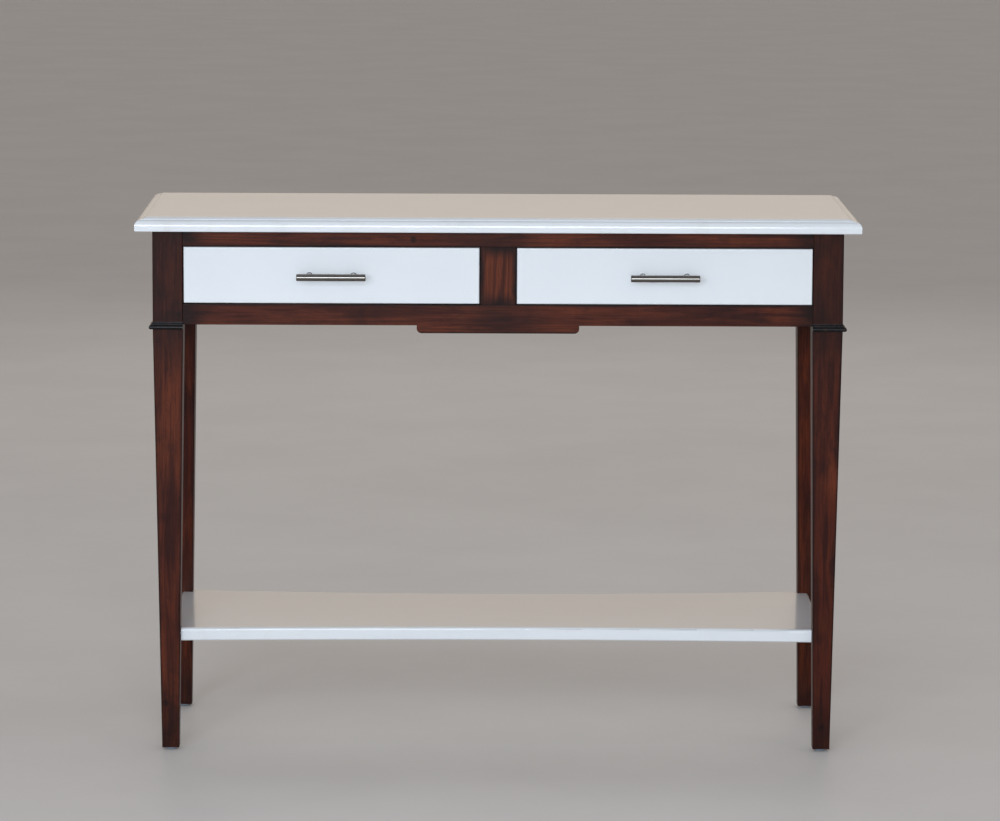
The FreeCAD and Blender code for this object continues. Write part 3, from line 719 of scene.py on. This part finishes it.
def finished_piece(name, bm, body, material, nodes):
    """Turn a bmesh into a piece that rides on a body and stands for some nodes."""
    bmesh.ops.recalc_face_normals(bm, faces=bm.faces)
    mesh = bpy.data.meshes.new(name)
    bm.to_mesh(mesh)
    bm.free()
    mesh.polygons.foreach_set("use_smooth", [True] * len(mesh.polygons))
    mesh.set_sharp_from_angle(angle=SHARP_ANGLE)
    piece = bpy.data.objects.new(name, mesh)
    bpy.context.scene.collection.objects.link(piece)
    mesh.materials.append(material)
    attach(piece, body)
    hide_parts(*nodes)


def facing(point, direction):
    """The matrix that turns Z to a direction and puts the origin at a point."""
    turn = Vector((0, 0, 1)).rotation_difference(Vector(direction)).to_matrix().to_4x4()
    return Matrix.Translation(point) @ turn


class CONSOLE_OT_white_boards(bpy.types.Operator):
    """Lacquer the top, the lower shelf and the drawer fronts"""

    bl_idname = "console_table.white_boards"
    bl_label = "White Boards"
    bl_options = {"REGISTER", "UNDO"}

    def execute(self, context):
        # How far handling dulls the lacquer inwards from each board's edges
        boards = {
            "top_panel": {"X": 0.020, "Y": 0.020},
            "lower_shelf": {"X": 0.010, "Y": 0.010},
            "drawer_left_front": {"X": 0.004, "Z": 0.004},
            "drawer_right_front": {"X": 0.004, "Z": 0.004},
        }
        for seed, (node, reaches) in enumerate(boards.items(), start=1):
            material = lacquer("lacquer_" + node, seed, lambda shader: board_edges(shader, node, reaches))
            finish_node(node, material)
        return {"FINISHED"}


class CONSOLE_OT_legs(bpy.types.Operator):
    """Stain the legs and their plugs, and blacken their beads"""

    bl_idname = "console_table.legs"
    bl_label = "Legs and Beads"
    bl_options = {"REGISTER", "UNDO"}

    def execute(self, context):
        # Warmth of each leg, and the place and radius of its knots
        legs = {
            "leg_front_left": (0.55, [((-0.486, -0.162, 0.071), 0.005), ((-0.464, -0.171, 0.647), 0.004)]),
            "leg_front_right": (0.85, [((0.479, -0.162, 0.037), 0.005)]),
            "leg_rear_left": (0.45, []),
            "leg_rear_right": (0.60, []),
        }
        for seed, (node, (warmth, knots)) in enumerate(legs.items(), start=3):
            bead = node.replace("leg_", "leg_bead_")

            # The mask of toning along the leg's long edges and of painted shade at its foot and round its
            # bead
            def shade(shader):
                return leg_edges(shader, node, bead)

            material = stained_wood("stain_" + node, "Z", seed, warmth, shade, knots)
            finish_node(node, material)
            finish_node(bead, ebonised("black_" + bead, seed))
        finish_node("shelf_plugs", stained_wood("stain_plugs", "X", seed=9, warmth=0.1))
        return {"FINISHED"}


class CONSOLE_OT_frieze(bpy.types.Operator):
    """Stain the rails, the stile and the aprons"""

    bl_idname = "console_table.frieze"
    bl_label = "Frieze"
    bl_options = {"REGISTER", "UNDO"}

    def execute(self, context):
        # Grain, warmth, how far the painted shade at joints and edges spreads inwards, and knots
        boards = {
            "rail_front_top": ("X", 0.70, {"X": 0.05, "Z": 0.004}, [((-0.123, -0.171, 0.758), 0.005)]),
            "rail_front_bottom": ("X", 0.65, {"X": 0.05, "Z": 0.005}, []),
            "stile_centre": ("Z", 0.75, {"X": 0.010, "Z": 0.022}, []),
            "apron_left": ("Y", 0.60, {"Y": 0.05, "Z": 0.012}, []),
            "apron_right": ("Y", 0.70, {"Y": 0.05, "Z": 0.012}, []),
            "apron_back": ("X", 0.60, {"X": 0.05, "Z": 0.012}, []),
        }
        for seed, (node, (grain, warmth, reaches, knots)) in enumerate(boards.items(), start=21):

            def shade(shader):
                masks = [board_edges(shader, node, reaches)]
                # Painted shade on the front rails, darker towards the middle where the stile meets them
                if node.startswith("rail_front"):
                    middle = near(shader, "X", place=0.0, reach=0.09)
                    masks.append(shader.math("MULTIPLY", middle, 0.6))
                return darkest(shader, masks)

            material = stained_wood("stain_" + node, grain, seed, warmth, shade, knots)
            finish_node(node, material)
        return {"FINISHED"}


class CONSOLE_OT_inner_wood(bpy.types.Operator):
    """Give the drawer boxes and the hidden framing their raw wood"""

    bl_idname = "console_table.inner_wood"
    bl_label = "Inner Wood"
    bl_options = {"REGISTER", "UNDO"}

    def execute(self, context):
        grains = {
            "divider_centre": "Y",
            "runner_left_outer": "Y",
            "runner_left_inner": "Y",
            "runner_right_inner": "Y",
            "runner_right_outer": "Y",
            "kicker_left": "Y",
            "kicker_right": "Y",
            "top_cleats": "Y",
            "closing_stops": "Y",
            "frame_dowels": "X",
        }
        for drawer in DRAWERS:
            grains[drawer + "_side_l"] = "Y"
            grains[drawer + "_side_r"] = "Y"
            grains[drawer + "_back"] = "X"
            grains[drawer + "_bottom"] = "X"
            grains[drawer + "_dowels"] = "Y"
            grains[drawer + "_stop_button"] = "Z"
        for seed, (node, grain) in enumerate(grains.items(), start=41):
            finish_node(node, raw_wood("raw_" + node, grain, seed))
        return {"FINISHED"}


class CONSOLE_OT_pulls(bpy.types.Operator):
    """Turn the pull bars and their posts"""

    bl_idname = "console_table.pulls"
    bl_label = "Pulls"
    bl_options = {"REGISTER", "UNDO"}

    def execute(self, context):
        sizes = settings("fittings")
        colour = tuple(settings("metal").nickel)
        for seed, drawer in enumerate(DRAWERS, start=1):
            low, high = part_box(drawer + "_pull_bar")
            radius = (high.z - low.z) / 2
            length = high.x - low.x
            centre = (low + high) / 2
            ease = sizes.bar_end_round
            dish = sizes.bar_end_dish
            end = [
                (0.0, dish),
                (radius * 0.55, dish * 0.8),
                (radius * 0.70, 0.0),
                (radius - ease, 0.0),
                (radius - ease * 0.3, ease * 0.3),
                (radius, ease),
                (radius, ease + 0.0004),
            ]
            profile = end + [(r, length - z) for r, z in reversed(end)]
            bm = bmesh.new()
            turned(bm, profile, facing((low.x, centre.y, centre.z), (1, 0, 0)), sizes.turned_steps)
            metal = brushed_metal("nickel_bar_" + drawer, colour, "X", roughness=0.11, seed=seed)
            bar = drawer + "_pull_bar"
            finished_piece(drawer + "_bar_turned", bm, drawer, metal, [bar])

            bm = bmesh.new()
            posts = drawer + "_pull_posts"
            for post_low, post_high in solids_of(posts):
                post = (post_high.x - post_low.x) / 2
                middle = (post_low + post_high) / 2
                reach = post_high.y - centre.y
                collar = sizes.post_collar
                step = sizes.post_collar_step
                profile = [
                    (0.0, 0.0),
                    (post + step - COLLAR_EASE, 0.0),
                    (post + step, COLLAR_EASE),
                    (post + step, collar - COLLAR_EASE),
                    (post + step - COLLAR_EASE, collar),
                    (post, collar + 0.0001),
                    (post, collar + 0.0005),
                    (post, reach),
                    (0.0, reach),
                ]
                start = Vector((middle.x, post_high.y, middle.z))
                turned(bm, profile, facing(start, (0, -1, 0)), sizes.turned_steps)
            metal = brushed_metal("nickel_posts_" + drawer, colour, "Y", roughness=0.20, seed=seed + 4)
            finished_piece(drawer + "_posts_turned", bm, drawer, metal, [posts])
        return {"FINISHED"}


class CONSOLE_OT_screws(bpy.types.Operator):
    """Make the screws with the cross cut in their heads"""

    bl_idname = "console_table.screws"
    bl_label = "Screws"
    bl_options = {"REGISTER", "UNDO"}

    def execute(self, context):
        self.depth = settings("fittings").recess_depth
        self.colour = tuple(settings("metal").zinc)
        domed = {"head_height": 0.0026, "sink": 0.0003, "shank": 0.0020}
        countersunk = {"head_height": 0.0025, "sink": 0.0020, "shank": 0.0020}
        for drawer in DRAWERS:
            self.make(drawer + "_pull_screws", drawer, (0, 1, 0), **domed)
            self.make(drawer + "_stop_screw", drawer, (0, -1, 0), **countersunk)
        self.make("top_screws", "frame", (0, 0, -1), **countersunk)
        finish_node("shelf_screws", plated_metal("zinc_shelf_screws", self.colour, seed=3))
        return {"FINISHED"}

    def make(self, node, body, direction, head_height, sink, shank):
        """One piece for all the screws of a node, whose heads face one direction.

        shank is the radius below the head."""
        axis = Vector(direction)
        bm = bmesh.new()
        for low, high in solids_of(node):
            middle = (low + high) / 2
            half = (high - low) / 2
            reach = abs(half.dot(axis))
            across = min(half[i] for i in range(3) if not direction[i])
            top = middle + axis * reach
            screw_head(bm, across, head_height, sink, self.depth, facing(top, axis))
            length = 2 * reach - head_height
            tip = middle - axis * reach
            profile = [
                (0.0, 0.0),
                (shank * 0.9, 0.0005),
                (shank, 0.0012),
                (shank, 0.0016),
                (shank, length),
                (0.0, length),
            ]
            turned(bm, profile, facing(tip, axis), SCREW_STEPS)
        metal = plated_metal("zinc_" + node, self.colour, seed=len(node))
        finished_piece(node + "_crossed", bm, body, metal, [node])


class CONSOLE_OT_glides(bpy.types.Operator):
    """Turn the domed glides under the feet"""

    bl_idname = "console_table.glides"
    bl_label = "Foot Glides"
    bl_options = {"REGISTER", "UNDO"}

    def execute(self, context):
        sizes = settings("fittings")
        bm = bmesh.new()
        for low, high in solids_of("foot_glides"):
            radius = (high.x - low.x) / 2
            dome = sizes.glide_dome
            profile = [
                (0.0, 0.0),
                (radius * 0.55, dome * 0.35),
                (radius - 0.0016, dome),
                (radius - GLIDE_EASE, dome + 0.0006),
                (radius, dome + 0.0015),
                (radius, GLIDE_THICKNESS - GLIDE_EASE),
                (radius - GLIDE_EASE, GLIDE_THICKNESS),
                (GLIDE_PIN_RADIUS, GLIDE_THICKNESS),
                (GLIDE_PIN_RADIUS, high.z - GLIDE_PIN_POINT),
                (0.0, high.z),
            ]
            middle = (low + high) / 2
            turned(bm, profile, Matrix.Translation((middle.x, middle.y, low.z)), sizes.turned_steps)
        material = nylon("nylon_glides", tuple(settings("metal").nylon), seed=2)
        finished_piece("foot_glides_domed", bm, "frame", material, ["foot_glides"])
        return {"FINISHED"}


class CONSOLE_OT_studio(bpy.types.Operator):
    """Set the floor, the soft lights and the camera"""

    bl_idname = "console_table.studio"
    bl_label = "Studio"
    bl_options = {"REGISTER", "UNDO"}

    def execute(self, context):
        look = settings("studio")
        bm = bmesh.new()
        bmesh.ops.create_circle(bm, cap_ends=True, segments=FLOOR_SEGMENTS, radius=FLOOR_RADIUS)
        mesh = bpy.data.meshes.new("studio_floor")
        bm.to_mesh(mesh)
        bm.free()
        floor = bpy.data.objects.new("studio_floor", mesh)
        context.scene.collection.objects.link(floor)
        mesh.materials.append(floor_finish())

        context.scene.view_settings.view_transform = "Standard"
        self.surroundings(look)
        self.softbox(
            "key_softbox",
            place=(-0.8, -6.0, 1.7),
            target=(0.0, 0.0, 0.50),
            size=(3.4, 2.0),
            power=look.key_power,
            colour=(0.76, 0.87, 1.0),
        )
        self.softbox(
            "top_softbox",
            place=(0.3, -0.6, 3.4),
            target=(0.0, 0.0, 0.7),
            size=(3.0, 2.0),
            power=look.top_power,
            colour=(0.97, 0.98, 1.0),
        )
        self.softbox(
            "back_softbox",
            place=(0.2, 4.4, 2.8),
            target=(0.0, 0.0, 0.4),
            size=(3.0, 2.0),
            power=look.back_power,
            colour=(1.0, 0.97, 0.93),
        )
        self.camera(look)
        return {"FINISHED"}

    def surroundings(self, look):
        """Plain air that is warm at eye level and cooler overhead."""
        world = bpy.data.worlds.new("studio_air")
        world.use_nodes = True
        tree = world.node_tree
        air = tree.nodes["Background"]
        air.inputs["Strength"].default_value = look.air_strength
        direction = tree.nodes.new("ShaderNodeTexCoord")
        split = tree.nodes.new("ShaderNodeSeparateXYZ")
        height = tree.nodes.new("ShaderNodeMapRange")
        height.interpolation_type = "SMOOTHSTEP"
        height.inputs["From Min"].default_value = 0.15
        height.inputs["From Max"].default_value = 0.75
        blend = tree.nodes.new("ShaderNodeMix")
        blend.data_type = "RGBA"
        blend.inputs[MIX_FIRST].default_value = (*look.air_low, 1.0)
        blend.inputs[MIX_SECOND].default_value = (*look.air_high, 1.0)
        tree.links.new(direction.outputs["Generated"], split.inputs[0])
        tree.links.new(split.outputs["Z"], height.inputs["Value"])
        tree.links.new(height.outputs["Result"], blend.inputs[0])
        tree.links.new(blend.outputs[MIX_RESULT], air.inputs["Color"])
        bpy.context.scene.world = world

    def softbox(self, name, place, target, size, power, colour):
        """A rectangular light at a place, aimed at a target."""
        light = bpy.data.lights.new(name, "AREA")
        light.shape = "RECTANGLE"
        light.size, light.size_y = size
        light.energy = power
        light.color = colour
        box = bpy.data.objects.new(name, light)
        bpy.context.scene.collection.objects.link(box)
        box.location = place
        box.rotation_mode = "QUATERNION"
        box.rotation_quaternion = (Vector(target) - Vector(place)).to_track_quat("-Z", "Y")

    def camera(self, look):
        """Stand the camera where the settings say and aim it by its three angles."""
        lens = bpy.data.cameras.new("camera")
        lens.sensor_width = 36.0
        lens.lens = look.focal_length
        lens.clip_start = 0.1
        lens.clip_end = 200.0
        camera = bpy.data.objects.new("camera", lens)
        bpy.context.scene.collection.objects.link(camera)
        pitch, yaw, roll = look.camera_pitch, look.camera_yaw, look.camera_roll
        ahead = Vector((math.sin(yaw) * math.cos(pitch), math.cos(yaw) * math.cos(pitch), -math.sin(pitch)))
        right = Vector((math.cos(yaw), -math.sin(yaw), 0.0))
        up = right.cross(ahead)
        across = right * math.cos(roll) + up * math.sin(roll)
        upright = up * math.cos(roll) - right * math.sin(roll)
        turn = Matrix((across, upright, -ahead)).transposed().to_4x4()
        camera.matrix_world = Matrix.Translation(look.camera_place) @ turn
        bpy.context.scene.camera = camera


class CONSOLE_PT_panel(bpy.types.Panel):
    """Lists the pieces in the order in which they are made"""

    bl_idname = "CONSOLE_PT_panel"
    bl_label = "Console Table"
    bl_space_type = "VIEW_3D"
    bl_region_type = "UI"
    bl_category = "Console Table"

    def draw(self, context):
        for operator in OPERATORS:
            self.layout.operator(operator.bl_idname)
        for name, group in GROUPS.items():
            box = self.layout.box()
            box.label(text=group.__doc__)
            for prop in group.__annotations__:
                box.prop(settings(name), prop)


GROUPS = {
    "stained_wood": StainedWoodSettings,
    "lacquer": LacquerSettings,
    "metal": MetalSettings,
    "raw_wood": RawWoodSettings,
    "fittings": FittingSettings,
    "studio": StudioSettings,
}
OPERATORS = (
    CONSOLE_OT_white_boards,
    CONSOLE_OT_legs,
    CONSOLE_OT_frieze,
    CONSOLE_OT_inner_wood,
    CONSOLE_OT_pulls,
    CONSOLE_OT_screws,
    CONSOLE_OT_glides,
    CONSOLE_OT_studio,
)


def register():
    """Add the settings, the operators and the panel."""
    for group in GROUPS.values():
        bpy.utils.register_class(group)
    for name, group in GROUPS.items():
        setattr(bpy.types.Scene, "console_table_" + name, bpy.props.PointerProperty(type=group))
    for operator in OPERATORS:
        bpy.utils.register_class(operator)
    bpy.utils.register_class(CONSOLE_PT_panel)


def unregister():
    """Take away everything that register adds."""
    bpy.utils.unregister_class(CONSOLE_PT_panel)
    for operator in reversed(OPERATORS):
        bpy.utils.unregister_class(operator)
    for name, group in reversed(GROUPS.items()):
        delattr(bpy.types.Scene, "console_table_" + name)
        bpy.utils.unregister_class(group)


def main():
    """Make every piece in order."""
    register()
    bpy.ops.console_table.studio()
    bpy.ops.console_table.white_boards()
    bpy.ops.console_table.legs()
    bpy.ops.console_table.frieze()
    bpy.ops.console_table.inner_wood()
    bpy.ops.console_table.pulls()
    bpy.ops.console_table.screws()
    bpy.ops.console_table.glides()


if __name__ == "__main__":
    main()
